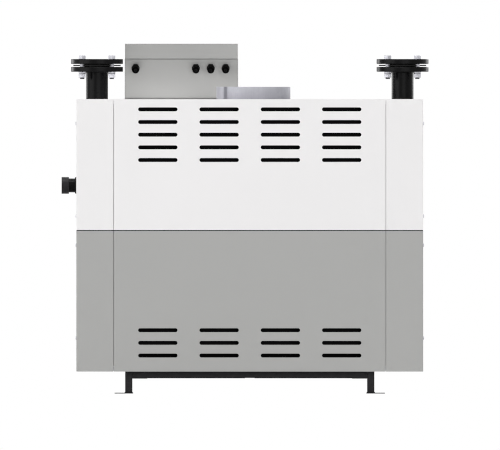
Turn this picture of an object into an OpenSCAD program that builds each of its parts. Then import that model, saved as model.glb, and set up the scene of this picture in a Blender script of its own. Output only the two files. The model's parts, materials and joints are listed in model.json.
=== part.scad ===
// Floor-standing atmospheric gas boiler in a two-tone sheet-steel casing.
// Frame: +Z up, floor at z = 0, origin midway between the four floor-anchor holes.
// The rear, with the flue spigot standing before the control box, looks towards -Y.
// Left is -X, as seen when facing the rear.

/* [Casing] */
// Width over the side covers
casing_w = 1200; // [1160:5:1400]
// Depth over the front and rear panels
casing_d = 720; // [700:5:900]
// Height of the lower, grey casing
lower_h = 486.5; // [440:0.5:560]
// Height of the upper, white casing
upper_h = 453; // [440:0.5:520]
// Open seam between the lower and the upper casing
seam_gap = 3; // [1:0.5:4]
// Open seam beside a middle panel
panel_gap = 1.5; // [0.5:0.1:2.5]
// Open seam round the top cover
cover_gap = 0.8; // [0.4:0.1:0.9]
// Sheet thickness of the casing
sheet_t = 1.5; // [1:0.1:2]
// Outer radius of the casing's upright folds
fold_r = 3; // [2.5:0.5:6]
// How far a side cover wraps round onto the front and the rear
corner_wrap = 128.5; // [115:0.5:160]
// Depth of the folded lips along the panel edges
lip = 12; // [8:1:20]
// Width of a side cover's return, which closes the seam behind a middle panel's lip
lip_return = 12; // [6:1:20]
// How far a lower side cover laps past the seam, behind the upper one
seam_lap = 12; // [6:1:16]
// Gap between a return or a lap and the sheet before it
lap_gap = 0.4; // [0.2:0.1:1]
// Depth of the folded rims of the top cover and the floor pan
rim = 15; // [10:1:20]
// Leg width of the corner post angles
post_w = 30; // [20:1:40]
// Thickness of the corner post angles
post_t = 2; // [1.5:0.5:4]

/* [Vent slots] */
// Length of a slot over its round ends
slot_l = 136; // [100:1:150]
// Height of a slot
slot_h = 13.5; // [8:0.5:20]
// Vertical pitch of the slot rows
slot_row_pitch = 43.8; // [30:0.1:48]
// Slot columns in a panel
slot_columns = 4; // [2:1:5]
// Plain sheet between a panel's upright edge and the outer slots
slot_margin = 84; // [60:0.5:100]
// Slot rows in an upper panel
upper_rows = 5; // [1:1:6]
// Slot rows in a lower panel
lower_rows = 3; // [1:1:6]
// Middle of the top slot row below the casing's top
upper_slot_drop = 35.5; // [30:0.5:60]
// Middle of the bottom slot row above the casing's lower edge
lower_slot_rise = 55.5; // [40:0.5:80]

/* [Base frame] */
// How far the casing reaches past the base frame at each side
side_overhang = 169; // [120:1:220]
// How far the casing reaches past the base frame at the front and the rear
face_overhang = 80; // [50:1:120]
// Outer width of the square tube
tube = 25; // [20:1:40]
// Wall of the square tube
tube_wall = 2; // [1.5:0.5:4]
// Clear height between a foot plate and the rails
leg_h = 51; // [40:1:100]
// Length of a foot plate, along X
foot_l = 64; // [55:1:90]
// Width of a foot plate, along Y
foot_w = 60; // [40:1:90]
// Thickness of a foot plate
foot_t = 3; // [2:0.5:8]
// How far a foot plate reaches past the leg's inner side
foot_inset = 2.5; // [0:0.5:5]
// Floor-anchor hole in a foot plate
anchor_d = 12; // [8:1:16]
// How far the casing laps down over the rails
casing_lap = 3; // [0:0.5:10]
// Thickness of the heat shields and the corner gussets under the rails
shield_t = 1.2; // [0.8:0.1:3]
// Open gap between the two heat shields
shield_gap = 33; // [20:1:60]
// Leg length of the triangular corner gussets
gusset_l = 52; // [30:1:80]

/* [Boiler body] */
// Gap between the insulated body and a riser pipe
riser_gap = 20.5; // [10:0.5:60]
// Gap between the insulated body and the outside of the front and the rear
body_gap = 60; // [40:1:90]
// Height of the bearers that carry the body over the floor pan
bearer_h = 74; // [50:1:90]
// Width of a bearer
bearer_w = 40; // [30:1:60]
// Height of the draught hood on the body
hood_h = 246.5; // [200:0.5:280]
// Step from the body in to the draught hood at each side
hood_side_step = 40; // [20:1:80]
// Step from the body in to the draught hood at the front and the rear
hood_face_step = 20; // [10:1:40]
// Clear height between the draught hood and the top cover's sheet
hood_clear = 16; // [10:1:40]
// Width across a water header, along Y
header_w = 140; // [110:2:180]
// Height of a water header
header_h = 120; // [100:5:200]
// Top of the water headers below the top of the body
header_drop = 40; // [20:5:100]
// Gap between the end of a water header and the side cover
header_gap = 15; // [5:1:30]

/* [Water connections] */
// Middle of a riser pipe from the side of the casing
riser_inset = 71.5; // [65:0.5:100]
// Outer diameter of a riser pipe
pipe_d = 76; // [60:1:80]
// Wall of a riser pipe
pipe_wall = 3.5; // [2.5:0.5:6]
// Underside of the welded flange above the casing's top
flange_rise = 94.5; // [60:0.5:140]
// Thickness of a flange at its rim
flange_t = 17; // [12:0.5:24]
// Height of the raised sealing face
raised_h = 3; // [1:0.5:4]
// Bolt circle of the flanges
bolt_circle = 145; // [130:1:160]
// Bolt holes of the flanges
bolt_hole_d = 18; // [14:1:22]
// Metal left outside the bolt holes, out to the rim of a flange
flange_rim = 8.5; // [6:0.5:14]
// Metal left inside the bolt holes, in to the raised sealing face
raised_margin = 11.5; // [10:0.5:16]
// Thickness of the gasket
gasket_t = 4; // [2:0.5:6]
// How far the gasket stays inside the rim of the flanges
gasket_inset = 8; // [2:0.5:10]
// Radius of the open notches that clear the bolts in the gasket
gasket_notch = 17; // [12:0.5:18]
// Radial gap of the pipework's end in the counter flange
counter_clear = 1; // [0.5:0.5:3]
// Chamfer on the flange rims
flange_chamfer = 1.5; // [0.5:0.5:3]
// Radial gap between a riser and its hole in the top cover
riser_clear = 4; // [1:0.5:8]

/* [Flue spigot] */
// Sideways place of the spigot
spigot_x = 12.5; // [-10:0.5:30]
// Middle of the spigot from the rear of the casing
spigot_setback = 260; // [220:1:300]
// Bore of the spigot
spigot_bore = 252; // [200:1:260]
// Wall of the spigot
spigot_wall = 2; // [1:0.5:3]
// Height of the spigot above the casing's top
spigot_h = 42.5; // [30:0.5:80]
// Width of the step on which the flue pipe stops
flue_step = 10; // [5:1:20]
// Depth of the flue way in the draught hood
flue_depth = 120; // [60:5:140]
// Radial gap between the spigot and its hole in the top cover
spigot_clear = 2; // [1:0.5:6]
// Width of the spigot's lock seam
seam_w = 10; // [6:1:16]
// How far the lock seam stands proud
seam_t = 1.2; // [0.5:0.1:2]
// Place of the lock seam, as an angle round from the rear towards the left
seam_angle = 49; // [0:1:80]

/* [Gas inlet] */
// Middle of the gas pipe below the top of the insulated body
gas_drop = 34.5; // [30:0.5:80]
// Middle of the gas pipe from the side of the water header
gas_offset = 70; // [50:1:120]
// Outer diameter of the gas pipe
gas_d = 48.3; // [33.7:0.1:60]
// Wall of the gas pipe
gas_wall = 3.2; // [2:0.1:5]
// How far the coupling's end stands out from the casing
gas_reach = 51; // [40:0.5:90]
// Wall of the coupling round the gas pipe
coupling_wall = 4.85; // [3:0.05:10]
// Length of the coupling
coupling_l = 25.5; // [20:0.5:32]
// Depth to which the pipe is screwed into the coupling
coupling_grip = 11; // [8:0.5:14]
// Depth of the thread, from the gas pipe's outside to the coupling's core
thread_depth = 1.75; // [1:0.05:3]
// Chamfer on the coupling's ends
coupling_chamfer = 1; // [0.5:0.5:2]
// How far the rubber grommet's rim stands out round the gas pipe
grommet_rim = 5.85; // [4:0.05:12]
// How far the grommet stands out from the casing
grommet_t = 5; // [3:0.5:8]
// Rubber between the gas pipe and the edge of its hole
grommet_wall = 3; // [2:0.5:3.5]

/* [Control box] */
// Gap between the left flanges and the control box
box_gap = 6; // [4:0.5:40]
// Width of the control box
box_w = 392; // [380:1:400]
// Height of the control box above the casing's top
box_h = 191.5; // [170:0.5:240]
// Height of the lid
lid_h = 53; // [40:1:70]
// Open line between the lid and the panels under it
lid_gap = 2; // [0.5:0.5:3]
// How much narrower the lid is at each end
lid_inset = 0.8; // [0:0.1:1.2]
// Sheet thickness of the control box
box_sheet = 1.5; // [1:0.1:2]
// Gap between the spigot and the foot of the rear face
box_clear = 67; // [30:1:90]
// Foot of the front face behind the front of the casing
box_setback = 15; // [5:1:40]
// Lean of the rear face, which undercuts the lid
rear_lean = 17; // [10:1:22]
// Lean of the front face, which faces up to the operator
front_lean = 20; // [10:1:25]
// Height of the upright foot of the front face
front_foot = 30; // [20:1:60]
// Open line at each end of the rear panel
end_gap = 0.6; // [0.2:0.1:0.9]
// Depth of the rear panel's folded foot, which lies on the tray
foot_fold = 20; // [12:1:40]

/* [Cable glands] */
// Axis of the glands below the lid, along the height
gland_drop = 29; // [24:0.5:40]
// Single gland from the box's left end
gland_left = 37.5; // [30:0.5:100]
// Last gland from the box's right end
gland_right = 43; // [30:0.5:60]
// Pitch of the three grouped glands
gland_pitch = 51.5; // [36:0.5:60]
// Thread diameter of a gland
gland_thread = 20; // [16:1:22]
// Gland size across its hexagon's corners
gland_hex = 27.5; // [26:0.5:32]
// Length of a gland outside the panel
gland_l = 37; // [35:0.5:44]
// Cable bore of a gland
gland_bore = 11; // [6:0.5:13]

/* [Hidden] */
$fn = 64;
eps = 0.5;        // overshoot of a cut past the face it opens
fit = 0.2;        // radial gap of a piece that seats in a hole
gland_collar = 6; // hexagon collar of a gland
gland_neck = 3;   // neck between the collar and the dome nut
gland_grip = 14;  // hexagon foot of the dome nut
gland_dome = 20;  // radius of the dome on the dome nut
gland_nut = 5;    // locknut of a gland
gland_tail = 4;   // thread past the locknut

// Levels
rail_z = foot_t + leg_h;
frame_top = rail_z + tube;
lower_z = frame_top - casing_lap;
seam_z = lower_z + lower_h;
upper_z = seam_z + seam_gap;
casing_top = upper_z + upper_h;
pan_top = frame_top + rim;
cover_rim_z = casing_top - rim;
body_z = frame_top + sheet_t + bearer_h;
hood_top = casing_top - sheet_t - hood_clear;
body_top = hood_top - hood_h;
header_top = body_top - header_drop;
gas_z = body_top - gas_drop;
flange_z = casing_top + flange_rise;
flange_face = flange_z + flange_t + raised_h;
counter_face = flange_face + gasket_t;

// Plan sizes
out_x = casing_w / 2;
out_y = casing_d / 2;
in_x = out_x - sheet_t;
in_y = out_y - sheet_t;
cover_edge = out_x - corner_wrap;
panel_edge = cover_edge - panel_gap;
return_y = in_y - lip - lap_gap;
slot_pitch = (2 * (panel_edge - slot_margin) - slot_l) / (slot_columns - 1);
frame_x = out_x - side_overhang;
frame_y = out_y - face_overhang;
leg_x = frame_x - tube / 2;
leg_y = frame_y - tube / 2;
leg_inner_x = frame_x - tube;
leg_inner_y = frame_y - tube;
anchor_x = (frame_x + leg_inner_x - foot_inset + foot_l) / 2;
riser_x = out_x - riser_inset;
flange_r = bolt_circle / 2 + bolt_hole_d / 2 + flange_rim;
raised_r = bolt_circle / 2 - bolt_hole_d / 2 - raised_margin;
body_x = riser_x - pipe_d / 2 - riser_gap;
body_y = out_y - body_gap;
hood_x = body_x - hood_side_step;
hood_y = body_y - hood_face_step;
spigot_r = spigot_bore / 2 + spigot_wall;
spigot_y = spigot_setback - out_y;
gas_y = header_w / 2 + gas_offset;

// Control box profile, along the depth and the height
box_left = -riser_x + flange_r + box_gap;
box_right = box_left + box_w;
box_rear = spigot_y + spigot_r + box_clear;
box_front = out_y - box_setback;
lid_z = casing_top + box_h - lid_h;
lid_rear = rear_y(lid_z);
front_knee = casing_top + front_foot;
lid_front = box_front - (lid_z - front_knee) * tan(front_lean);
top_front = lid_front - lid_h * tan(front_lean);
rear_slant = box_sheet / cos(rear_lean);
front_slant = box_sheet / cos(front_lean);
gland_z = lid_z - gland_drop;
gland_x = [box_left + gland_left,
           box_right - gland_right - 2 * gland_pitch,
           box_right - gland_right - gland_pitch,
           box_right - gland_right];

white = [0.90, 0.90, 0.90];
grey = [0.62, 0.62, 0.62];
black = [0.09, 0.09, 0.09];
dark = [0.16, 0.16, 0.17];
zinc = [0.72, 0.73, 0.75];
rubber = [0.06, 0.06, 0.06];

// Place along the depth of the control box's leaning rear face, at a height.
function rear_y(z) = box_rear - (z - casing_top) * tan(rear_lean);

// Puts a piece drawn in the right-hand, front quarter into any quarter.
module quarter(right, front) {
    mirror([right ? 0 : 1, 0, 0]) mirror([0, front ? 0 : 1, 0]) children();
}

// A box between two values along each axis.
module block(x, y, z) {
    translate([x[0], y[0], z[0]]) cube([x[1] - x[0], y[1] - y[0], z[1] - z[0]]);
}

// A profile given along the depth and the height, carried along X.
module across(x, points) {
    translate([x[0], 0, 0]) rotate([90, 0, 90]) linear_extrude(x[1] - x[0]) polygon(points);
}

// A plan outline about the middle, with rounded corners.
module plan(half_x, half_y, r) {
    square([2 * (half_x - r), 2 * half_y], center = true);
    square([2 * half_x, 2 * (half_y - r)], center = true);
    for (sx = [-1, 1], sy = [-1, 1]) translate([sx * (half_x - r), sy * (half_y - r)]) circle(r);
}

// A shallow folded tray, open at the top.
module tray(half_x, half_y) {
    difference() {
        linear_extrude(rim) plan(half_x, half_y, fold_r);
        translate([0, 0, sheet_t]) linear_extrude(rim)
            plan(half_x - sheet_t, half_y - sheet_t, fold_r - sheet_t);
    }
}

module square_tube(length) {
    linear_extrude(length) difference() {
        square(tube, center = true);
        square(tube - 2 * tube_wall, center = true);
    }
}

// Base frame

module leg(right, front) {
    color(black) quarter(right, front) union() {
        translate([leg_x, leg_y, foot_t]) square_tube(leg_h + tube);
        difference() {
            translate([leg_inner_x - foot_inset, leg_y - foot_w / 2, 0]) cube([foot_l, foot_w, foot_t]);
            translate([anchor_x, leg_y, -eps]) cylinder(d = anchor_d, h = foot_t + 2 * eps);
        }
    }
}

// The rails butt against the sides of the legs.
module long_rail(front) {
    color(black) quarter(true, front)
        translate([-leg_inner_x, leg_y, rail_z + tube / 2]) rotate([0, 90, 0]) square_tube(2 * leg_inner_x);
}

module side_rail(right) {
    color(black) quarter(right, true)
        translate([leg_x, leg_inner_y, rail_z + tube / 2]) rotate([90, 0, 0]) square_tube(2 * leg_inner_y);
}

module heat_shield(right) {
    color(black) quarter(right, true)
        block([shield_gap / 2, leg_inner_x], [-frame_y, frame_y], [rail_z - shield_t, rail_z]);
}

module corner_gussets() {
    color(black) for (right = [false, true], front = [false, true])
        quarter(right, front) translate([leg_inner_x, frame_y, rail_z - 2 * shield_t])
            linear_extrude(shield_t) polygon([[0, 0], [-gusset_l, 0], [0, -gusset_l]]);
}

// Inner structure

module floor_pan() {
    color(zinc) translate([0, 0, frame_top]) tray(in_x, in_y);
}

module bearer(front) {
    color(dark) quarter(true, front)
        block([-body_x, body_x], [leg_y - bearer_w, leg_y], [frame_top + sheet_t, body_z]);
}

module post(right, front) {
    color(zinc) quarter(right, front) translate([0, 0, pan_top]) linear_extrude(cover_rim_z - pan_top)
        intersection() {
            difference() {
                plan(in_x, in_y, fold_r);
                square([2 * (in_x - post_t), 2 * (in_y - post_t)], center = true);
            }
            translate([in_x - post_w, in_y - post_w]) square(post_w);
        }
}

module header(right) {
    quarter(right, true) block([body_x - eps, in_x - header_gap], [-header_w / 2, header_w / 2],
                               [header_top - header_h, header_top]);
}

module boiler_body() {
    color(dark) union() {
        block([-body_x, body_x], [-body_y, body_y], [body_z, body_top]);
        header(false);
        header(true);
    }
}

module draught_hood() {
    flue_r = spigot_bore / 2 - flue_step;
    color(dark) difference() {
        block([-hood_x, hood_x], [-hood_y, hood_y], [body_top, hood_top]);
        translate([spigot_x, spigot_y, hood_top - flue_depth]) cylinder(r = flue_r, h = flue_depth + eps);
    }
}

// Casing

module slot() {
    square([slot_l - slot_h, slot_h], center = true);
    for (end = [-1, 1]) translate([end * (slot_l - slot_h) / 2, 0]) circle(d = slot_h);
}

// Columns of slots about the middle, the rows going up from the middle of the lowest.
module slots(rows, lowest) {
    for (row = [0 : rows - 1], column = [0 : slot_columns - 1])
        translate([(column - (slot_columns - 1) / 2) * slot_pitch, lowest + row * slot_row_pitch]) slot();
}

// A flat middle panel with folded lips. The side lips stop short of the rims behind them.
module middle_panel(front, z, lip_z, edge_lips, rows, lowest) {
    quarter(true, front) union() {
        translate([0, out_y, 0]) rotate([90, 0, 0]) linear_extrude(sheet_t) difference() {
            translate([-panel_edge, z[0]]) square([2 * panel_edge, z[1] - z[0]]);
            slots(rows, lowest);
        }
        for (side = [-1, 1])
            block(side < 0 ? [-panel_edge, -panel_edge + sheet_t] : [panel_edge - sheet_t, panel_edge],
                  [in_y - lip, in_y], lip_z);
        for (edge = edge_lips)
            block([-panel_edge + sheet_t, panel_edge - sheet_t],
                  [in_y - lip, in_y], [edge, edge + sheet_t]);
    }
}

module lower_panel(front) {
    color(grey) middle_panel(front, [lower_z, seam_z], [pan_top + sheet_t, seam_z],
                             [lower_z, seam_z - sheet_t], lower_rows, lower_z + lower_slot_rise);
}

module upper_panel(front) {
    color(white) middle_panel(front, [upper_z, casing_top], [upper_z, cover_rim_z - sheet_t], [upper_z],
                              upper_rows, casing_top - upper_slot_drop - (upper_rows - 1) * slot_row_pitch);
}

// A side cover is one sheet that wraps round both corners. Its two ends are folded in, then back behind the
// middle panels' lips.
module side_cover(right, z, lip_z, return_top) {
    quarter(right, true) union() {
        translate([0, 0, z[0]]) linear_extrude(z[1] - z[0]) intersection() {
            difference() {
                plan(out_x, out_y, fold_r);
                plan(in_x, in_y, fold_r - sheet_t);
            }
            translate([cover_edge, -out_y]) square([corner_wrap, casing_d]);
        }
        for (end = [0, 1]) mirror([0, end, 0]) {
            block([cover_edge, cover_edge + sheet_t], [return_y - sheet_t, in_y], lip_z);
            block([cover_edge - lip_return, cover_edge + sheet_t], [return_y - sheet_t, return_y],
                  [lip_z[0], return_top]);
        }
    }
}

// Profile of a joggled edge that laps up past the seam, inwards from a wall's inner face.
function lap_profile(face) = let (low = seam_z - seam_lap, high = upper_z + seam_lap, joggle = face - lap_gap)
    [[face, low], [face, seam_z], [joggle, seam_z], [joggle, high], [joggle - sheet_t, high],
     [joggle - sheet_t, low]];

// The lap runs along the three walls of a lower side cover, between its ends and the corner posts.
module lower_side(right) {
    post_edge = [in_x - post_w - lap_gap, in_y - post_w - lap_gap];
    color(grey) union() {
        side_cover(right, [lower_z, seam_z], [pan_top + sheet_t, seam_z], upper_z - lap_gap);
        quarter(right, true) {
            for (end = [0, 1]) mirror([0, end, 0])
                across([cover_edge + sheet_t + lap_gap, post_edge[0]], lap_profile(in_y));
            rotate(-90) across([-post_edge[1], post_edge[1]], lap_profile(in_x));
        }
    }
}

module upper_side(right) {
    lip_top = cover_rim_z - sheet_t;
    color(white) side_cover(right, [upper_z, casing_top], [upper_z, lip_top], lip_top);
}

module gas_hole() {
    translate([-out_x - eps, gas_y, gas_z]) rotate([0, 90, 0])
        cylinder(d = gas_d + 2 * grommet_wall, h = sheet_t + 2 * eps);
}

module upper_left_side() {
    color(white) difference() {
        upper_side(false);
        gas_hole();
    }
}

module top_cover() {
    color(white) difference() {
        translate([0, 0, casing_top]) mirror([0, 0, 1]) tray(in_x - cover_gap, in_y - cover_gap);
        for (side = [-1, 1]) translate([side * riser_x, 0, cover_rim_z])
            cylinder(d = pipe_d + 2 * riser_clear, h = rim + eps);
        translate([spigot_x, spigot_y, cover_rim_z]) cylinder(r = spigot_r + spigot_clear, h = rim + eps);
    }
}

// Water connections

module bolt_holes(r, h) {
    for (a = [45 : 90 : 315]) rotate(a) translate([bolt_circle / 2, 0, -eps])
        cylinder(r = r, h = h + 2 * eps);
}

// A flange with a chamfered rim and a raised face on top, round the Z axis.
module flange(bore) {
    difference() {
        rotate_extrude() polygon([
            [bore / 2, 0], [flange_r - flange_chamfer, 0], [flange_r, flange_chamfer],
            [flange_r, flange_t - flange_chamfer], [flange_r - flange_chamfer, flange_t],
            [raised_r, flange_t], [raised_r, flange_t + raised_h], [bore / 2, flange_t + raised_h]]);
        bolt_holes(bolt_hole_d / 2, flange_t);
    }
}

module riser(right) {
    bore = pipe_d - 2 * pipe_wall;
    color(black) quarter(right, true) translate([riser_x, 0, 0]) union() {
        translate([0, 0, flange_z]) flange(bore);
        translate([0, 0, header_top]) difference() {
            cylinder(d = pipe_d, h = flange_z - header_top + eps);
            translate([0, 0, -eps]) cylinder(d = bore, h = flange_z - header_top + 3 * eps);
        }
    }
}

module gasket(right) {
    color(rubber) quarter(right, true) translate([riser_x, 0, flange_face]) difference() {
        cylinder(r = flange_r - gasket_inset, h = gasket_t);
        translate([0, 0, -eps]) cylinder(d = pipe_d, h = gasket_t + 2 * eps);
        bolt_holes(gasket_notch, gasket_t);
    }
}

module counter_flange(right) {
    color(black) quarter(right, true) translate([riser_x, 0, counter_face + raised_h + flange_t])
        rotate([180, 0, 0]) flange(pipe_d + 2 * counter_clear);
}

// Flue

module flue_spigot() {
    height = casing_top + spigot_h - hood_top;
    color(zinc) translate([spigot_x, spigot_y, hood_top]) union() {
        difference() {
            cylinder(r = spigot_r, h = height);
            translate([0, 0, -eps]) cylinder(d = spigot_bore, h = height + 2 * eps);
        }
        rotate(-90 - seam_angle) translate([spigot_r - spigot_wall / 2, -seam_w / 2, casing_top - hood_top])
            cube([spigot_wall / 2 + seam_t, seam_w, spigot_h]);
    }
}

// Gas inlet, drawn along -X from the casing's left side

module gas_pipe() {
    outer = out_x + gas_reach - coupling_l + coupling_grip;
    color(black) translate([-outer, gas_y, gas_z]) rotate([0, 90, 0]) difference() {
        cylinder(d = gas_d, h = outer - body_x);
        translate([0, 0, -eps]) cylinder(d = gas_d - 2 * gas_wall, h = outer - body_x + 2 * eps);
    }
}

module gas_coupling() {
    core = gas_d / 2 - thread_depth;
    seat = gas_d / 2 + fit;
    rim_r = gas_d / 2 + coupling_wall;
    color(black) translate([-out_x - gas_reach, gas_y, gas_z]) rotate([0, 90, 0]) rotate_extrude() polygon([
        [core, 0], [rim_r - coupling_chamfer, 0], [rim_r, coupling_chamfer],
        [rim_r, coupling_l - coupling_chamfer], [rim_r - coupling_chamfer, coupling_l],
        [seat, coupling_l], [seat, coupling_l - coupling_grip], [core, coupling_l - coupling_grip]]);
}

module gas_grommet() {
    inner = gas_d / 2 + fit;
    neck = gas_d / 2 + grommet_wall - fit;
    rim_r = gas_d / 2 + grommet_rim;
    color(rubber) translate([-out_x, gas_y, gas_z]) rotate([0, 90, 0]) rotate_extrude() polygon([
        [inner, -grommet_t], [neck, -grommet_t], [rim_r, 0], [neck, 0], [neck, sheet_t],
        [rim_r, sheet_t], [rim_r, 2 * sheet_t], [inner, 2 * sheet_t]]);
}

// Control box

module cheek(x) {
    across([x, x + box_sheet], [[box_rear, casing_top], [box_front, casing_top], [box_front, front_knee],
                                [lid_front, lid_z], [lid_rear, lid_z]]);
}

module control_box_tray() {
    color(grey) union() {
        cheek(box_left);
        cheek(box_right - box_sheet);
        block([box_left, box_right], [box_rear + foot_fold / 2, box_front],
              [casing_top, casing_top + box_sheet]);
    }
}

module on_rear_face(x) {
    translate([x, rear_y(gland_z), gland_z]) rotate([90 + rear_lean, 0, 0]) children();
}

// The rear panel's foot is folded in over the tray, which leaves a shadow line under it.
module control_box_rear_panel() {
    foot = casing_top + box_sheet;
    fold_top = foot + box_sheet;
    fold_end = rear_y(foot) + foot_fold;
    head = lid_z - lid_gap / 2;
    color(grey) difference() {
        across([box_left + box_sheet + end_gap, box_right - box_sheet - end_gap],
               [[rear_y(foot), foot], [fold_end, foot], [fold_end, fold_top],
                [rear_y(fold_top) + rear_slant, fold_top], [rear_y(head) + rear_slant, head],
                [rear_y(head), head]]);
        for (x = gland_x) on_rear_face(x) translate([0, 0, -2 * box_sheet])
            cylinder(d = gland_thread + 2 * fit, h = 4 * box_sheet);
    }
}

module control_box_fascia() {
    foot = casing_top + box_sheet;
    color(grey) across([box_left + box_sheet + fit, box_right - box_sheet - fit],
        [[box_front - front_slant, foot], [box_front, foot], [box_front, front_knee],
         [lid_front, lid_z], [lid_front - front_slant, lid_z], [box_front - front_slant, front_knee]]);
}

module control_box_lid() {
    top = casing_top + box_h;
    wall_y = lid_rear + box_sheet;
    color(grey) difference() {
        across([box_left + lid_inset, box_right - lid_inset],
               [[lid_rear, lid_z], [lid_front, lid_z], [top_front, top], [lid_rear, top]]);
        across([box_left + lid_inset + box_sheet, box_right - lid_inset - box_sheet],
               [[wall_y, lid_z - eps], [lid_front - front_slant, lid_z - eps],
                [lid_front - front_slant, lid_z], [top_front - front_slant, top - box_sheet],
                [wall_y, top - box_sheet]]);
        block([box_left, box_right], [lid_rear - eps, wall_y + eps], [lid_z - eps, lid_z + lid_gap / 2]);
    }
}

// A gland stands square on the rear panel: locknut and thread inside, collar and dome nut outside.
module cable_gland(i) {
    hex_r = gland_hex / 2;
    flat_r = hex_r * cos(30);
    nut_z = gland_collar + gland_neck;
    tail = box_sheet + gland_nut + gland_tail;
    color(rubber) on_rear_face(gland_x[i]) difference() {
        union() {
            translate([0, 0, -tail]) cylinder(d = gland_thread, h = tail + nut_z + eps);
            translate([0, 0, -box_sheet - gland_nut]) cylinder(r = hex_r, h = gland_nut, $fn = 6);
            cylinder(r = hex_r, h = gland_collar, $fn = 6);
            translate([0, 0, nut_z]) cylinder(r = hex_r, h = gland_grip, $fn = 6);
            intersection() {
                translate([0, 0, nut_z]) cylinder(r = flat_r, h = gland_l - nut_z);
                translate([0, 0, gland_l - gland_dome]) sphere(gland_dome);
            }
        }
        translate([0, 0, -tail - eps]) cylinder(d = gland_bore, h = tail + gland_l + 2 * eps);
    }
}

leg(false, false);  // leg_rear_left
leg(true, false);  // leg_rear_right
leg(false, true);  // leg_front_left
leg(true, true);  // leg_front_right
long_rail(false);  // rear_rail
long_rail(true);  // front_rail
side_rail(false);  // left_rail
side_rail(true);  // right_rail
heat_shield(false);  // left_heat_shield
heat_shield(true);  // right_heat_shield
corner_gussets();
floor_pan();
bearer(false);  // rear_bearer
bearer(true);  // front_bearer
post(false, false);  // post_rear_left
post(true, false);  // post_rear_right
post(false, true);  // post_front_left
post(true, true);  // post_front_right
lower_panel(false);  // lower_rear_panel
lower_panel(true);  // lower_front_panel
lower_side(false);  // lower_left_side
lower_side(true);  // lower_right_side
upper_panel(false);  // upper_rear_panel
upper_panel(true);  // upper_front_panel
upper_left_side();
upper_side(true);  // upper_right_side
top_cover();
boiler_body();
draught_hood();
riser(false);  // left_riser
riser(true);  // right_riser
gasket(false);  // left_gasket
gasket(true);  // right_gasket
counter_flange(false);  // left_counter_flange
counter_flange(true);  // right_counter_flange
flue_spigot();
gas_pipe();
gas_coupling();
gas_grommet();
control_box_tray();
control_box_rear_panel();
control_box_fascia();
control_box_lid();
cable_gland(0);  // cable_gland_1
cable_gland(1);  // cable_gland_2
cable_gland(2);  // cable_gland_3
cable_gland(3);  // cable_gland_4
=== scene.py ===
import json
import math

import bpy
from mathutils import Matrix, Vector

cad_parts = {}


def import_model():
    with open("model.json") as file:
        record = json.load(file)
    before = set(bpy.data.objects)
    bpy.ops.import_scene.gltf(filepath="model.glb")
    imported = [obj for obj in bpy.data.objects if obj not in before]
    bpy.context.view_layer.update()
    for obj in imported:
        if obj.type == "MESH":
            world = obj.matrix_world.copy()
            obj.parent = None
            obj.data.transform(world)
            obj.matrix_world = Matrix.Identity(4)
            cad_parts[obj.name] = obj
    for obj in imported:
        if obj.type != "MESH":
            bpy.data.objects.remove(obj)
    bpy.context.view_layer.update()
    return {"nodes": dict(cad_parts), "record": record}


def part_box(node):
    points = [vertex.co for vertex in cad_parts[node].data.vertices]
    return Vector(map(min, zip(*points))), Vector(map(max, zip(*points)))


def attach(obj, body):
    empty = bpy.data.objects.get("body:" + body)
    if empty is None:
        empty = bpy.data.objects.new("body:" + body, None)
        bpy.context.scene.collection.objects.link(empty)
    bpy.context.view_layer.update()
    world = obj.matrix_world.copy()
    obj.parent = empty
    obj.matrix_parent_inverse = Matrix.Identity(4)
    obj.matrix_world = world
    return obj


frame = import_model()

MM = 0.001
BODY = "root"
SIDES = ("left", "right")

# View of the photograph: parallel, along +Y, straight at the rear face
VIEW_WIDTH = 1.7295
VIEW_CENTRE_X = 0.0008
VIEW_CENTRE_Z = 0.583
CAMERA_DISTANCE = 6.0
PIXEL_FILTER = 1.15

# Studio: floor, light from all round, white background, and the point that the lights aim at
FLOOR_HALF = 14.0
FLOOR_COLOUR = (0.78, 0.78, 0.78, 1)
FLOOR_ROUGHNESS = 0.8
FLOOR_SPECULAR = 0.2
AMBIENT = 0.25
BACKGROUND = 1.0
AIM = Vector((0, 0, 0.55))

# Bounce light from the top cover on the control box: metres, and watts per square metre
BOUNCE_DEPTH = 0.12
BOUNCE_END_DEPTH = 0.13
BOUNCE_GAP = 0.004
BOUNCE_PAST = 0.1
BOUNCE_RISE = 0.001
BOUNCE_GLOW = 3.75
BOUNCE_GLOW_BEHIND = 7.0
BOUNCE_GLOW_LEFT = 10.5
BOUNCE_GLOW_OVER = 8.0

# Edges of the CAD nodes
JOIN_WITHIN = 0.001 * MM
FLAT_WITHIN = math.radians(0.5)
EDGE_BREAK = 0.4 * MM
EDGE_STEPS = 2
EDGE_ANGLE = math.radians(40)

# Threads: shares of the pitch
THREAD_DEPTH = 0.45
CREST_START = 0.4
CREST_END = 0.6

# Hexagons: steps along a side, and the cone that turns their corners off
HEX_STEPS = 6
HEX_TURNED = 0.96
HEX_SLOPE = math.tan(math.radians(30))

# Flange bolts
BOLTS = 4
BOLT_CIRCLE = 145 * MM
BOLT_STEPS = 28
FLANGE_DEPTH = 20 * MM
M16_FLATS = 24 * MM
M16_HEAD = 12.5 * MM
M16_NUT = 12 * MM
M16_RADIUS = 8 * MM
M16_PITCH = 2 * MM
M16_END = 5 * MM
M16_CHAMFER = 1.5 * MM
M16_TIP_RADIUS = 6.4 * MM
WASHER_RADIUS = 12.6 * MM
WASHER_THICK = 3 * MM
WASHER_RIM = 0.3 * MM
SPRING_RADIUS = 12.2 * MM
SPRING_THICK = 5 * MM
SPRING_RISE = 0.8 * MM
SPRING_SPLIT = 0.16
SPRING_STEPS = 40

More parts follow.
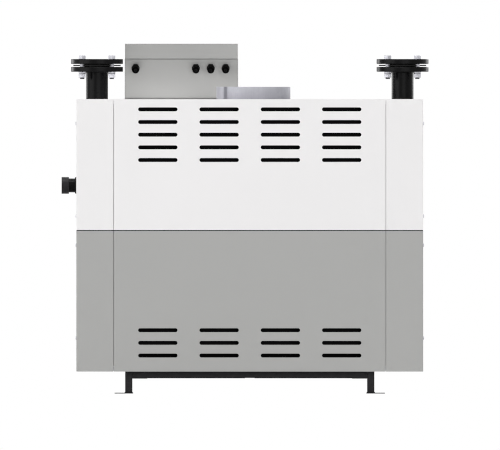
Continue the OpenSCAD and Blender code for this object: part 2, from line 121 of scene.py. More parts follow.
# Screws of the side covers, whose socket has a round rim a little wider than itself
SCREW_LEVELS = [192.1 * MM, 513.1 * MM, 614.2 * MM, 934.5 * MM]
SCREW_INSET = 45 * MM
SCREW_RADIUS = 6.3 * MM
SCREW_PROUD = 3.4 * MM
SCREW_FOOT = 0.8 * MM
SCREW_ARC = 7
SCREW_STEPS = 36
SOCKET_RADIUS = 2.3 * MM
SOCKET_FLOOR = 1.2 * MM
SOCKET_RIM = 1.15

# Welds: a bead's sides, how much it swells, the path points in each puddle, and the beads' sizes
WELD_SIDES = 8
WELD_SWELL = 0.12
WELD_PUDDLE = 3
PIPE_RADIUS = 38 * MM
PIPE_WELD = 3.2 * MM
PIPE_WELD_STEPS = 96
TUBE = 25 * MM
FOOT_THICK = 3 * MM
FILLET = 2.2 * MM
BUTT_WELD = 1.1 * MM
FRAME_WELD_STEPS = 10

# Control box and glands
REAR_LEAN = math.radians(17)
GLANDS = 4
GLAND_DROP = 28 * MM
GLAND_LENGTH = 36 * MM
GLAND_BORE = 5.5 * MM
SEAL_HOLE = 3.2 * MM
SEAL_DEPTH = 8 * MM
SEAL_BACK = 1.2 * MM
SEAL_LEAD = 0.8 * MM

# Seam of the side covers, and the black strip set in it as painted shade
SEAM_GAP = 3 * MM
SHEET = 1.5 * MM
FOLD = 3 * MM
FOLD_STEPS = 6
SHADE_STRIP_REACH = 143 * MM
SHADE_STRIP_BACK = 0.7 * MM

# Thread of the gas coupling
GAS_CORE = 22.4 * MM
GAS_PITCH = 2.3 * MM
GAS_LENGTH = 14.5 * MM
GAS_LEAD = 1.0 * MM
GAS_DEPTH = 0.7 * MM
GAS_STEPS = 64

# Galvanised sheet: its grain in waves a metre along X, Y and Z, and its colours
SHEET_GRAIN = (420, 420, 6)
DARK_ZINC = (0.25, 0.25, 0.275)
PALE_ZINC = (0.425, 0.425, 0.46)
# Darker zinc for the spigot's lock seam and for the painted shade at its foot
SEAM_AND_FOOT_SHADE_ZINC = (0.215, 0.215, 0.24)
# Pale zinc for the spigot's painted highlights
PAINTED_HIGHLIGHT_ZINC = (0.66, 0.66, 0.71)
ZINC_BLUE = 1.07

# Marks on the flue spigot: its lock seam, a painted highlight down its left-most side, painted shade at its
# foot and a painted highlight at its rim
LOCK_SEAM_ANGLE = math.radians(49)
LOCK_SEAM_DULL = 2 * MM
LOCK_SEAM_FADE = 13 * MM
SIDE_HIGHLIGHT_REACH = 70 * MM
SIDE_HIGHLIGHT_FADE = 86 * MM
SIDE_HIGHLIGHT_SHARE = 0.55
FOOT_SHADE_SHARE = 0.25
RIM_HIGHLIGHT_SHARE = 0.22


# Meshes

def unit(angle):
    return math.cos(angle), math.sin(angle)


class Shape:
    """Collects rings of points and the faces between them, then makes one mesh object."""

    def __init__(self):
        self.points = []
        self.faces = []
        self.smooth = []

    def add(self, points, matrix=None):
        first = len(self.points)
        self.points += [tuple(matrix @ Vector(p)) if matrix else tuple(p) for p in points]
        return list(range(first, len(self.points)))

    def face(self, corners, smooth=False):
        self.faces.append(tuple(corners))
        self.smooth.append(smooth)

    def bridge(self, low, high, smooth=True):
        """Joins two closed rings of the same length with four-sided faces."""
        count = len(low)
        for i in range(count):
            j = (i + 1) % count
            self.face((low[i], low[j], high[j], high[i]), smooth)

    def tube(self, rings, smooth=False):
        """Joins a row of rings, each to the next, and returns the two at the open ends."""
        for here, there in zip(rings, rings[1:]):
            self.bridge(here, there, smooth)
        return rings[0], rings[-1]

    def lathe(self, profile, matrix, steps=48, close_start=False):
        """Turns a list of (radius, height) round the Z axis, and returns the last ring.
        Sharp corners are given twice."""
        turns = [unit(2 * math.pi * i / steps) for i in range(steps)]
        rings = []
        for radius, height in profile:
            rings.append(self.add([(radius * x, radius * y, height) for x, y in turns], matrix))
        for i in range(1, len(profile)):
            if profile[i] != profile[i - 1]:
                self.bridge(rings[i - 1], rings[i])
        if close_start:
            self.face(reversed(rings[0]))
        return rings[-1]

    def hexagon(self, flats, low, high, matrix, chamfer_low=False):
        """A hexagon whose upper corners, and on a nut the lower ones too, are turned off by a cone."""
        half = flats / 2
        turned = half * HEX_TURNED
        rings = [[], [], [], []]
        for side in range(6):
            for i in range(HEX_STEPS):
                off = math.radians(-30 + 60 * i / HEX_STEPS)
                x, y = unit(math.radians(60 * side) + off)
                radius = half / math.cos(off)
                drop = (radius - turned) * HEX_SLOPE
                base = low + drop if chamfer_low else low
                corners = [(turned, low), (radius, base), (radius, high - drop), (turned, high)]
                for ring, (reach, level) in zip(rings, corners):
                    ring.append((reach * x, reach * y, level))
        made = [self.add(ring, matrix) for ring in rings]
        self.face(reversed(made[0]))
        for under, over in zip(made, made[1:]):
            self.bridge(under, over, smooth=False)
        self.face(made[-1])

    def finish(self, name, material):
        """Makes the object, which rides on the body and takes that material."""
        mesh = bpy.data.meshes.new(name)
        mesh.from_pydata(self.points, [], self.faces)
        mesh.polygons.foreach_set("use_smooth", self.smooth)
        mesh.materials.append(material)
        mesh.update()
        piece = bpy.data.objects.new(name, mesh)
        bpy.context.scene.collection.objects.link(piece)
        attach(piece, BODY)


def threaded(radius, pitch, low, high):
    """The profile of a thread as a row of ridges, going up."""
    core = radius - pitch * THREAD_DEPTH
    ridges = max(1, round((high - low) / pitch))
    step = (high - low) / ridges
    profile = []
    for i in range(ridges):
        base = low + i * step
        profile += [(core, base), (radius, base + step * CREST_START), (radius, base + step * CREST_END)]
    return profile + [(core, high)]


# Materials

class Nodes:
    """A material with one Principled shader, and short calls for the nodes that feed it."""

    def __init__(self, name):
        self.material = bpy.data.materials.new(name)
        self.material.use_nodes = True
        self.tree = self.material.node_tree
        self.shader = self.tree.nodes["Principled BSDF"]
        self.place = self.new("ShaderNodeTexCoord").outputs["Object"]

    def new(self, kind, **settings):
        node = self.tree.nodes.new(kind)
        for key, value in settings.items():
            setattr(node, key, value)
        return node

    def link(self, source, target):
        self.tree.links.new(source, target)

    def set(self, **values):
        for key, value in values.items():
            self.shader.inputs[key.replace("_", " ")].default_value = value

    def stretched(self, x, y, z):
        mapping = self.new("ShaderNodeMapping")
        mapping.inputs["Scale"].default_value = (x, y, z)
        self.link(self.place, mapping.inputs["Vector"])
        return mapping.outputs["Vector"]

    def noise(self, scale, detail, roughness=0.55, vector=None):
        node = self.new("ShaderNodeTexNoise")
        node.inputs["Scale"].default_value = scale
        node.inputs["Detail"].default_value = detail
        node.inputs["Roughness"].default_value = roughness
        self.link(vector or self.place, node.inputs["Vector"])
        return node.outputs["Fac"]

    def cells(self, scale):
        """A number from 0 to 1 that is the same all over each cell."""
        node = self.new("ShaderNodeTexVoronoi")
        node.inputs["Scale"].default_value = scale
        self.link(self.place, node.inputs["Vector"])
        split = self.new("ShaderNodeSeparateColor")
        self.link(node.outputs["Color"], split.inputs["Color"])
        return split.outputs["Red"]

    def spread(self, value, low, high, start=0.3, end=0.7):
        """Maps the range from start to end, a noise's middle, onto low to high."""
        node = self.new("ShaderNodeMapRange")
        for key, number in (("From Min", start), ("From Max", end), ("To Min", low), ("To Max", high)):
            node.inputs[key].default_value = number
        self.link(value, node.inputs["Value"])
        return node.outputs["Result"]

    def blend(self, factor, first, second):
        """Mixes two colours, each a tuple or the output of a node."""
        node = self.new("ShaderNodeMix", data_type="RGBA")
        for key, colour in (("A", first), ("B", second)):
            if isinstance(colour, tuple):
                node.inputs[key].default_value = (*colour, 1)
            else:
                self.link(colour, node.inputs[key])
        self.link(factor, node.inputs["Factor"])
        return node.outputs["Result"]

    def plan_distance(self, x, y):
        """Distance from an upright line at that place."""
        node = self.new("ShaderNodeVectorMath", operation="DISTANCE")
        self.link(self.stretched(1, 1, 0), node.inputs[0])
        node.inputs[1].default_value = (x, y, 0)
        return node.outputs["Value"]

    def height(self):
        node = self.new("ShaderNodeSeparateXYZ")
        self.link(self.place, node.inputs["Vector"])
        return node.outputs["Z"]

    def product(self, first, second):
        node = self.new("ShaderNodeMath", operation="MULTIPLY")
        self.link(first, node.inputs[0])
        self.link(second, node.inputs[1])
        return node.outputs["Value"]

    def colour(self, value):
        self.link(value, self.shader.inputs["Base Color"])

    def rough(self, value):
        self.link(value, self.shader.inputs["Roughness"])

    def bump(self, height, depth, strength):
        node = self.new("ShaderNodeBump")
        node.inputs["Distance"].default_value = depth
        node.inputs["Strength"].default_value = strength
        self.link(height, node.inputs["Height"])
        self.link(node.outputs["Normal"], self.shader.inputs["Normal"])


def shade(colour, factor):
    return tuple(c * factor for c in colour)


def powder_coat(name, colour, roughness, specular):
    """Baked powder on sheet steel: fine orange peel, and a tone that drifts a little over a panel."""
    m = Nodes(name)
    m.colour(m.blend(m.noise(scale=2.6, detail=2), shade(colour, 0.985), shade(colour, 1.015)))
    m.rough(m.spread(m.noise(scale=60, detail=4), roughness - 0.04, roughness + 0.05))
    m.bump(m.noise(scale=820, detail=2), depth=0.06 * MM, strength=0.35)
    m.set(Specular_IOR_Level=specular)
    return m.material


def frame_paint(name):
    """Satin black paint, brushed on steel tube, with slight dust in the film."""
    m = Nodes(name)
    dust = m.noise(scale=38, detail=5)
    m.colour(m.blend(dust, (0.0108, 0.0104, 0.0118), (0.0158, 0.0153, 0.0170)))
    m.rough(m.spread(m.noise(scale=90, detail=4), 0.36, 0.52))
    m.bump(m.noise(scale=420, detail=3), depth=0.08 * MM, strength=0.4)
    m.set(Specular_IOR_Level=0.22)
    return m.material


def enamel(name):
    """Gloss black enamel over the slight waves of rolled pipe and turned flanges."""
    m = Nodes(name)
    film = m.noise(scale=30, detail=3)
    m.colour(m.blend(film, (0.0022, 0.0022, 0.0024), (0.0036, 0.0035, 0.0038)))
    m.rough(m.spread(m.noise(scale=110, detail=4), 0.25, 0.33))
    m.bump(m.noise(scale=260, detail=2), depth=0.05 * MM, strength=0.3)
    m.set(Specular_IOR_Level=0.09)
    return m.material


def galvanised_sheet(name, painted_light_and_seam=None):
    """Zinc on rolled sheet: pale spangle cells crossed by fine lines along the rolling direction."""
    m = Nodes(name)
    lines = m.noise(scale=1, detail=6, roughness=0.7, vector=m.stretched(*SHEET_GRAIN))
    spangle = m.spread(m.cells(scale=75), 0.86, 1.0, start=0, end=1)
    zinc = m.blend(m.product(m.spread(lines, 0.84, 1.0), spangle), DARK_ZINC, PALE_ZINC)
    m.colour(painted_light_and_seam(m, zinc) if painted_light_and_seam else zinc)
    m.rough(m.spread(lines, 0.66, 0.63))
    m.bump(lines, depth=0.01 * MM, strength=0.1)
    m.set(Metallic=1.0)
    return m.material


def spigot_seam_and_painted_light(m, zinc):
    """The flue spigot's zinc: darker along the lock seam, with painted shade at its foot,
    a painted highlight at its rim and a painted highlight down its left-most side."""
    low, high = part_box("flue_spigot")
    middle = (low + high) / 2
    radius = (high.y - low.y) / 2
    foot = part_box("top_cover")[1].z
    half_way = (foot + high.z) / 2
    across, out = math.sin(LOCK_SEAM_ANGLE), math.cos(LOCK_SEAM_ANGLE)
    level = m.height()
    # Painted shade: the zinc darkens towards the spigot's foot on the top cover
    zinc = m.blend(m.spread(level, FOOT_SHADE_SHARE, 0, foot, half_way), zinc, SEAM_AND_FOOT_SHADE_ZINC)
    # Painted highlight: the zinc brightens towards the spigot's rim
    zinc = m.blend(m.spread(level, 0, RIM_HIGHLIGHT_SHARE, half_way, high.z), zinc, PAINTED_HIGHLIGHT_ZINC)
    # Painted highlight: an upright band down the spigot's left-most side, where the metal would reflect
    # light
    from_side_highlight = m.plan_distance(middle.x - radius, middle.y)
    zinc = m.blend(m.spread(from_side_highlight, SIDE_HIGHLIGHT_SHARE, 0, SIDE_HIGHLIGHT_REACH, SIDE_HIGHLIGHT_FADE), zinc, PAINTED_HIGHLIGHT_ZINC)
    from_seam = m.plan_distance(middle.x - radius * across, middle.y - radius * out)
    return m.blend(m.spread(from_seam, 0, 1, LOCK_SEAM_DULL, LOCK_SEAM_FADE), SEAM_AND_FOOT_SHADE_ZINC, zinc)


def zinc_plate(name, dark, pale, roughness, metal):
    """Plated and other steel, turned and forged, with a faint blue cast and a dull film over the metal. Its
    darkest use, on the bolt ends, is painted shade.
    """
    m = Nodes(name)
    film = m.noise(scale=240, detail=3)
    m.colour(m.blend(film, (dark, dark, dark * ZINC_BLUE), (pale, pale, pale * ZINC_BLUE)))
    m.rough(m.spread(m.noise(scale=500, detail=3), roughness - 0.06, roughness + 0.06))
    m.bump(m.noise(scale=900, detail=2), depth=0.04 * MM, strength=0.4)
    m.set(Metallic=metal)
    return m.material


def matt_black(name, dark, pale, roughness, grain, depth, specular):
    """A dull black surface: rubber, fibre, plastic or heat-resistant paint, told apart by their grain."""
    m = Nodes(name)
    m.colour(m.blend(m.noise(scale=grain * 0.2, detail=4), (dark, dark, dark), (pale, pale, pale)))
    m.rough(m.spread(m.noise(scale=grain, detail=4), roughness - 0.06, roughness + 0.06))
    m.bump(m.noise(scale=grain, detail=3), depth=depth, strength=0.6)
    m.set(Specular_IOR_Level=specular)
    return m.material


MATERIALS = {
    "white_coat": powder_coat("white_powder_coat", (0.86, 0.85, 0.852), roughness=0.42, specular=0.2),
    "grey_coat": powder_coat("grey_powder_coat", (0.385, 0.385, 0.377), roughness=0.38, specular=0.5),
    "black_frame": frame_paint("satin_black_paint"),
    "black_enamel": enamel("gloss_black_enamel"),
    "galvanised": galvanised_sheet("galvanised_sheet"),
    "dark_jacket": matt_black(
        "heat_resistant_black", 0.005, 0.008, roughness=0.7, grain=160, depth=0.2 * MM, specular=0.1
    ),
    "gasket_sheet": matt_black(
        "gasket_fibre", 0.010, 0.021, roughness=0.85, grain=600, depth=0.2 * MM, specular=0.2
    ),
    "black_rubber": matt_black(
        "black_rubber", 0.005, 0.010, roughness=0.6, grain=500, depth=0.1 * MM, specular=0.15
    ),
    "black_plastic": matt_black(
        "black_polyamide", 0.001, 0.002, roughness=0.5, grain=700, depth=0.06 * MM, specular=0.012
    ),
}
SPIGOT_SHEET = galvanised_sheet("spigot_sheet", spigot_seam_and_painted_light)
BOX_COAT = powder_coat("box_powder_coat", (0.315, 0.315, 0.308), roughness=0.38, specular=0.5)
ZINC = zinc_plate("zinc_plated_steel", 0.57, 0.65, roughness=0.5, metal=0.3)
SPRING_STEEL = zinc_plate("spring_steel", 0.24, 0.34, roughness=0.4, metal=0.8)
# Painted shade: the bolt ends under the nuts, part of the same zinc bolts, are made dark
BOLT_END_PAINTED_SHADE = zinc_plate("bolt_end_steel_painted_shade", 0.05, 0.10, roughness=0.38, metal=1.0)


def finish_of(part):
    """A CAD node's material: its slot's, apart from the control box's darker grey and the spigot's zinc
    with painted highlights and shade.
    """
    if part["node"].startswith("control_box"):
        return BOX_COAT
    if part["node"] == "flue_spigot":
        return SPIGOT_SHEET
    return MATERIALS[part["material_slot"]]


def dress_nodes():
    """Gives each CAD node its finish, and breaks the sharp edges of sheet, plate and tube."""
    for part in frame["record"]["subparts"]:
        node = frame["nodes"][part["node"]]
        node.data.materials.clear()
        node.data.materials.append(finish_of(part))
        node.modifiers.new("joined_faces", "WELD").merge_threshold = JOIN_WITHIN
        flat = node.modifiers.new("whole_flats", "DECIMATE")
        flat.decimate_type = "DISSOLVE"
        flat.angle_limit = FLAT_WITHIN
        bevel = node.modifiers.new("broken_edges", "BEVEL")
        bevel.width = EDGE_BREAK
        bevel.segments = EDGE_STEPS
        bevel.limit_method = "ANGLE"
        bevel.angle_limit = EDGE_ANGLE
        node.modifiers.new("even_shading", "WEIGHTED_NORMAL").mode = "FACE_AREA_WITH_ANGLE"


# Fasteners

def flange_bolts(side):
    """Four bolts through the pair of flanges on one riser,
    each with a washer, a spring washer and a nut."""
    low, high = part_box(f"{side}_counter_flange")
    axis = (low + high) / 2
    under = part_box(f"{side}_riser")[1].z - FLANGE_DEPTH
    spring = under - WASHER_THICK - SPRING_THICK
    nut = spring - M16_NUT
    bolts = Shape()
    springs = Shape()
    ends = Shape()
    for i in range(BOLTS):
        x, y = unit(2 * math.pi * (i + 0.5) / BOLTS)
        at = Matrix.Translation((axis.x + BOLT_CIRCLE / 2 * x, BOLT_CIRCLE / 2 * y, 0))
        bolts.hexagon(M16_FLATS, high.z, high.z + M16_HEAD, at)
        bolts.lathe(threaded(M16_RADIUS, M16_PITCH, under - M16_NUT, high.z), at, BOLT_STEPS)
        washer(bolts, at, under - WASHER_THICK, under)
        bolts.hexagon(M16_FLATS, nut, spring, at, chamfer_low=True)
        spring_washer(springs, at, spring)
        bolt_end(ends, at, nut)
    bolts.finish(f"{side}_flange_bolts", ZINC)
    springs.finish(f"{side}_spring_washers", SPRING_STEEL)
    # The bolt ends take the darker steel, which is painted shade
    ends.finish(f"{side}_flange_bolt_ends", BOLT_END_PAINTED_SHADE)


def washer(shape, at, low, high):
    """A plain washer, whose bore the bolt fills, with its outer edges broken."""
    edge = WASHER_RADIUS - WASHER_RIM
    low_rim = (WASHER_RADIUS, low + WASHER_RIM)
    high_rim = (WASHER_RADIUS, high - WASHER_RIM)
    profile = [(M16_RADIUS, low), (edge, low), (edge, low), low_rim, low_rim]
    profile += [high_rim, high_rim, (edge, high), (edge, high), (M16_RADIUS, high)]
    shape.lathe(profile, at)


def spring_washer(shape, at, low):
    """A ring of square section that is cut through and rises a little from end to end."""
    rings = []
    for i in range(SPRING_STEPS + 1):
        part = i / SPRING_STEPS
        x, y = unit(SPRING_SPLIT + (2 * math.pi - 2 * SPRING_SPLIT) * part)
        base = low + SPRING_RISE * part
        top = base + SPRING_THICK - SPRING_RISE
        corners = [(M16_RADIUS, base), (SPRING_RADIUS, base), (SPRING_RADIUS, top), (M16_RADIUS, top)]
        rings.append(shape.add([(radius * x, radius * y, z) for radius, z in corners], at))
    first, last = shape.tube(rings)
    shape.face(first)
    shape.face(reversed(last))


def bolt_end(shape, at, top):
    """The threaded end under a nut, with a chamfered tip."""
    tip = top - M16_END
    profile = [(M16_TIP_RADIUS, tip), (M16_TIP_RADIUS, tip), (M16_RADIUS, tip + M16_CHAMFER)]
    profile += threaded(M16_RADIUS, M16_PITCH, tip + M16_CHAMFER, top)
    shape.lathe(profile, at, BOLT_STEPS, close_start=True)


def side_screws(side):
    """Round-headed screws that hold the side covers to the posts."""
    low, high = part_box(f"upper_{side}_side")
    face = high.x if side == "right" else low.x
    out = math.radians(90 if side == "right" else -90)
    shape = Shape()
    for level in SCREW_LEVELS:
        for depth in (low.y + SCREW_INSET, high.y - SCREW_INSET):
            round_head(shape, Matrix.Translation((face, depth, level)) @ Matrix.Rotation(out, 4, "Y"))
    shape.finish(f"{side}_cover_screws", ZINC)


def round_head(shape, at):
    """A low dome with a flat foot and a hexagon socket."""
    edge = math.asin(SOCKET_RADIUS * SOCKET_RIM / SCREW_RADIUS)
    profile = [(SCREW_RADIUS, 0), (SCREW_RADIUS, SCREW_FOOT), (SCREW_RADIUS, SCREW_FOOT)]
    for i in range(1, SCREW_ARC + 1):
        rise, reach = unit(math.pi / 2 + (edge - math.pi / 2) * i / SCREW_ARC)
        profile.append((SCREW_RADIUS * reach, SCREW_FOOT + (SCREW_PROUD - SCREW_FOOT) * rise))
    rim = shape.lathe(profile + profile[-1:], at, SCREW_STEPS)
    corners = [unit(math.pi * i / 3) for i in range(6)]
    top = profile[-1][1]
    mouth = shape.add([(SOCKET_RADIUS * x, SOCKET_RADIUS * y, top) for x, y in corners], at)
    base = shape.add([(SOCKET_RADIUS * x, SOCKET_RADIUS * y, SOCKET_FLOOR) for x, y in corners], at)
    span = SCREW_STEPS // 6
    for i in range(6):
        j = (i + 1) % 6
        arc = [rim[(span * i + k) % SCREW_STEPS] for k in range(span + 1)]
        shape.face([mouth[j], mouth[i], *arc])
        shape.face((mouth[i], mouth[j], base[j], base[i]))
    shape.face(base)


# Welds

def weld_bead(shape, path, radius, closed):
    """A bead along a path of points, swelling and thinning with each puddle of weld metal."""
    turns = [unit(2 * math.pi * k / WELD_SIDES) for k in range(WELD_SIDES)]
    count = len(path)
    rings = []
    for i, point in enumerate(path):
        before = path[i - 1] if closed or i else path[i]
        after = path[(i + 1) % count] if closed or i < count - 1 else path[i]
        along = (Vector(after) - Vector(before)).normalized()
        across = along.orthogonal().normalized()
        third = along.cross(across)
        size = radius * (1 + WELD_SWELL * math.sin(2 * math.pi * i / WELD_PUDDLE))
        rings.append(shape.add([Vector(point) + size * (x * across + y * third) for x, y in turns]))
    first, last = shape.tube(rings, smooth=True)
    if closed:
        shape.bridge(last, first)
    else:
        shape.face(reversed(first))
        shape.face(last)


def riser_weld(side):
    """The fillet under a riser's flange, all round the pipe."""
    low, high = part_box(f"{side}_riser")
    axis = (low + high) / 2
    under = high.z - FLANGE_DEPTH
    turns = [unit(2 * math.pi * i / PIPE_WELD_STEPS) for i in range(PIPE_WELD_STEPS)]
    path = [(axis.x + PIPE_RADIUS * x, PIPE_RADIUS * y, under) for x, y in turns]
    shape = Shape()
    weld_bead(shape, path, PIPE_WELD, closed=True)
    shape.finish(f"{side}_riser_weld", MATERIALS["black_enamel"])


def frame_welds():
    """Beads round the foot of each leg and up the butt joints between the legs and the long rails."""
    shape = Shape()
    steps = FRAME_WELD_STEPS
    for end in ("rear", "front"):
        low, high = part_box(f"{end}_rail")
        face = low.y if end == "rear" else high.y
        for side in SIDES:
            inner = low.x if side == "left" else high.x
            outer = inner - TUBE if side == "left" else inner + TUBE
            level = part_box(f"leg_{end}_{side}")[0].z + FOOT_THICK
            corners = [(inner, low.y), (outer, low.y), (outer, high.y), (inner, high.y)]
            foot = []
            for (x, y), (next_x, next_y) in zip(corners, corners[1:] + corners[:1]):
                for i in range(steps):
                    part = i / steps
                    foot.append((x + (next_x - x) * part, y + (next_y - y) * part, level))
            weld_bead(shape, foot, FILLET, closed=True)
            rise = (high.z - low.z) / steps
            butt = [(inner, face, low.z + rise * i) for i in range(1, steps)]
            weld_bead(shape, butt, BUTT_WELD, closed=False)
    shape.finish("frame_welds", MATERIALS["black_frame"])


# Small inner pieces

def gland_seals():
    """The rubber insert in the mouth of each cable gland, with the hole for a cable."""
    low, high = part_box("control_box_rear_panel")
    foot_y = low.y + GLAND_DROP * math.tan(REAR_LEAN)
    foot_z = high.z - GLAND_DROP
    mouth = GLAND_LENGTH - SEAL_BACK
    lead = SEAL_HOLE + SEAL_LEAD
    neck = mouth - SEAL_LEAD
    profile = [(SEAL_HOLE, mouth - SEAL_DEPTH), (SEAL_HOLE, neck), (SEAL_HOLE, neck)]
    profile += [(lead, mouth), (lead, mouth), (GLAND_BORE, mouth)]
    shape = Shape()
    for i in range(GLANDS):
        gland_low, gland_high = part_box(f"cable_gland_{i + 1}")
        foot = Matrix.Translation(((gland_low.x + gland_high.x) / 2, foot_y, foot_z))
        at = foot @ Matrix.Rotation(math.pi / 2 + REAR_LEAN, 4, "X")
        shape.lathe(profile, at, close_start=True)
    shape.finish("gland_seals", MATERIALS["black_rubber"])


def seam_shade_strips():
    """A black strip, set back a little, in the level seam between the lower and upper cover of each side:
    painted shade in the seam.
    It reaches past the upright seams, where the covers' returns lie behind."""
    shape = Shape()
    for side, sign in zip(SIDES, (-1, 1)):
        low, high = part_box(f"upper_{side}_side")
        face = high.x if sign > 0 else -low.x
        plan = [(face - SHADE_STRIP_REACH, low.y, 0.0, -1.0)]
        for end, first in ((low.y + FOLD, -90), (high.y - FOLD, 0)):
            for i in range(FOLD_STEPS + 1):
                x, y = unit(math.radians(first + 90 * i / FOLD_STEPS))
                plan.append((face - FOLD + FOLD * x, end + FOLD * y, x, y))
        plan.append((face - SHADE_STRIP_REACH, high.y, 0.0, 1.0))
        base = low.z - SEAM_GAP
        corners = [(SHADE_STRIP_BACK, base), (SHADE_STRIP_BACK, low.z), (SHEET, low.z), (SHEET, base)]
        rings = []
        for x, y, out_x, out_y in plan:
            ring = [(sign * (x - out_x * back), y - out_y * back, z) for back, z in corners]
            rings.append(shape.add(ring))
        first_ring, last_ring = shape.tube(rings)
        shape.face(first_ring)
        shape.face(reversed(last_ring))
    # A black strip that stands for the seam's shade: painted shade
    shape.finish("seam_shade_strips", MATERIALS["black_rubber"])


def coupling_thread():
    """The female thread in the open end of the gas coupling."""
    low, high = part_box("gas_coupling")
    axis = (low + high) / 2
    at = Matrix.Translation((low.x, axis.y, axis.z)) @ Matrix.Rotation(math.pi / 2, 4, "Y")
    crest = GAS_CORE - GAS_DEPTH
    turns = int((GAS_LENGTH - GAS_LEAD) / GAS_PITCH)
    profile = []
    for i in range(turns):
        base = GAS_LEAD + i * GAS_PITCH
        profile += [(GAS_CORE, base), (crest, base + GAS_PITCH * CREST_START)]
        profile += [(crest, base + GAS_PITCH * CREST_END)]
    profile.append((GAS_CORE, GAS_LEAD + turns * GAS_PITCH))
    shape = Shape()
    shape.lathe(profile[::-1], at, GAS_STEPS)
    shape.finish("coupling_thread", ZINC)


# Stage, lights and camera

def stage():
    """A pale floor that reaches far past the part."""
    corners = [(-1, -1), (1, -1), (1, 1), (-1, 1)]
    mesh = bpy.data.meshes.new("floor")
    mesh.from_pydata([(FLOOR_HALF * x, FLOOR_HALF * y, 0) for x, y in corners], [], [(0, 1, 2, 3)])
    floor = bpy.data.objects.new("floor", mesh)
    bpy.context.scene.collection.objects.link(floor)
    m = Nodes("pale_floor")
    m.set(Base_Color=FLOOR_COLOUR, Roughness=FLOOR_ROUGHNESS, Specular_IOR_Level=FLOOR_SPECULAR)
    mesh.materials.append(m.material)


def lamp(name, place, turn, width, height, power, sheen):
    """A soft rectangular light that the camera doesn't see, and mirrors see only where it gives sheen."""
    data = bpy.data.lights.new(name, "AREA")
    data.shape = "RECTANGLE"
    data.size = width
    data.size_y = height
    data.energy = power
    obj = bpy.data.objects.new(name, data)
    obj.location = place
    obj.rotation_euler = turn
    obj.visible_camera = False
    obj.visible_glossy = sheen
    bpy.context.scene.collection.objects.link(obj)


def studio_light(name, azimuth, elevation, distance, width, height, level, sheen=True):
    """A light at that place round the part, where azimuth 0 is the photograph's side.
    Its level is the brightness of a white card that faces it at the part's middle."""
    around, up = math.radians(azimuth), math.radians(elevation)
    flat = math.cos(up)
    towards = Vector((math.sin(around) * flat, -math.cos(around) * flat, math.sin(up)))
    turn = (-towards).to_track_quat("-Z", "Y").to_euler()
    power = level * (math.pi * distance) ** 2
    lamp(name, AIM + towards * distance, turn, width, height, power, sheen)


def cover_bounce():
    """Glow of the white top cover on the control box's rear face, which leans over it.
    One patch lies beside the flue spigot and a narrower one behind it. Two more, farther out,
    light the ends of that face, which the spigot and a riser's flanges put in shade."""
    low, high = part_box("control_box_rear_panel")
    spigot_low, spigot_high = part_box("flue_spigot")
    left, right = low.x - BOUNCE_PAST, high.x + BOUNCE_PAST
    far = low.y + (high.z - low.z) * math.tan(REAR_LEAN) - BOUNCE_GAP
    middle = far - BOUNCE_DEPTH
    near = middle - BOUNCE_END_DEPTH
    behind = spigot_high.y + BOUNCE_GAP
    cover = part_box("control_box_tray")[0].z + BOUNCE_RISE
    rim = spigot_high.z + BOUNCE_RISE
    patches = [
        ("bounce_beside_spigot", left, spigot_low.x, middle, far, cover, BOUNCE_GLOW),
        ("bounce_behind_spigot", spigot_low.x, right, behind, far, cover, BOUNCE_GLOW_BEHIND),
        ("bounce_at_left_end", left, low.x, near, middle, cover, BOUNCE_GLOW_LEFT),
        ("bounce_over_spigot", spigot_low.x, spigot_high.x, near, middle, rim, BOUNCE_GLOW_OVER),
    ]
    for name, start, end, front, back, level, glow in patches:
        place = ((start + end) / 2, (front + back) / 2, level)
        width, depth = end - start, back - front
        lamp(name, place, (math.pi, 0, 0), width, depth, glow * width * depth, sheen=False)


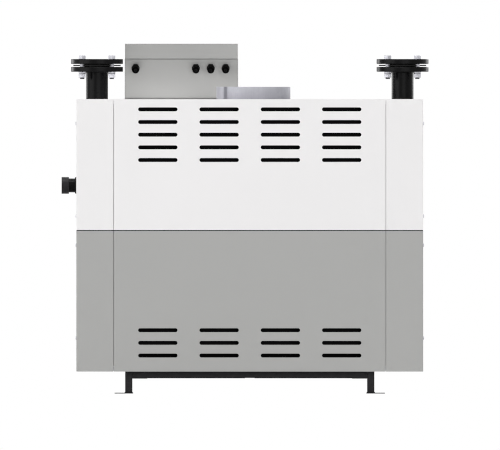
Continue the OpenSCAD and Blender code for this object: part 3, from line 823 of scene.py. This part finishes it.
def lights():
    """A high light over the top cover, low ones before the rear, left and front, a rim light for each side,
    and a narrow light at each side that draws the bright edges of pipes and flanges."""
    cover_bounce()
    wide = {"distance": 14, "width": 8.4, "height": 5.6}
    rim = {"elevation": 12, "distance": 11, "width": 3.5, "height": 3.5, "sheen": False}
    edge = {"elevation": 4, "distance": 9, "height": 2.2}
    studio_light("overhead", -10, 75, distance=6, width=2.6, height=2.6, level=0.55)
    studio_light("key_rear", 20, 2, **wide, level=0.28, sheen=False)
    studio_light("sheen_rear", 14, 2, **wide, level=0.125)
    studio_light("fill_left", -60, 10, distance=12, width=11, height=3.6, level=0.30)
    studio_light("key_front", 166, 16, distance=11, width=6, height=4, level=0.17)
    studio_light("rim_left", -128, **rim, level=0.32)
    studio_light("rim_right", 108, **rim, level=0.36)
    studio_light("edge_left", -134, **edge, width=2.6, level=0.11)
    studio_light("edge_right", 136, **edge, width=1.6, level=0.07)


def world():
    """Soft light from all round; the camera, mirrors and glass see plain white."""
    studio = bpy.data.worlds.new("studio")
    bpy.context.scene.world = studio
    studio.use_nodes = True
    nodes, links = studio.node_tree.nodes, studio.node_tree.links
    nodes.clear()
    path = nodes.new("ShaderNodeLightPath")
    seen = path.outputs["Is Camera Ray"]
    for ray in ("Is Glossy Ray", "Is Transmission Ray"):
        either = nodes.new("ShaderNodeMath")
        either.operation = "MAXIMUM"
        links.new(seen, either.inputs[0])
        links.new(path.outputs[ray], either.inputs[1])
        seen = either.outputs["Value"]
    mix = nodes.new("ShaderNodeMixShader")
    links.new(seen, mix.inputs["Fac"])
    for socket, strength in ((1, AMBIENT), (2, BACKGROUND)):
        light = nodes.new("ShaderNodeBackground")
        light.inputs["Color"].default_value = (1, 1, 1, 1)
        light.inputs["Strength"].default_value = strength
        links.new(light.outputs["Background"], mix.inputs[socket])
    out = nodes.new("ShaderNodeOutputWorld")
    links.new(mix.outputs["Shader"], out.inputs["Surface"])


def camera():
    """The photograph's view, without a tone curve."""
    data = bpy.data.cameras.new("camera")
    data.type = "ORTHO"
    data.ortho_scale = VIEW_WIDTH
    obj = bpy.data.objects.new("camera", data)
    obj.location = (VIEW_CENTRE_X, -CAMERA_DISTANCE, VIEW_CENTRE_Z)
    obj.rotation_euler = (math.radians(90), 0, 0)
    bpy.context.scene.collection.objects.link(obj)
    bpy.context.scene.camera = obj
    bpy.context.scene.view_settings.view_transform = "Standard"
    bpy.context.scene.cycles.filter_width = PIXEL_FILTER


camera()
world()
lights()
stage()
dress_nodes()
for side in SIDES:
    flange_bolts(side)
    riser_weld(side)
    side_screws(side)
frame_welds()
gland_seals()
seam_shade_strips()
coupling_thread()
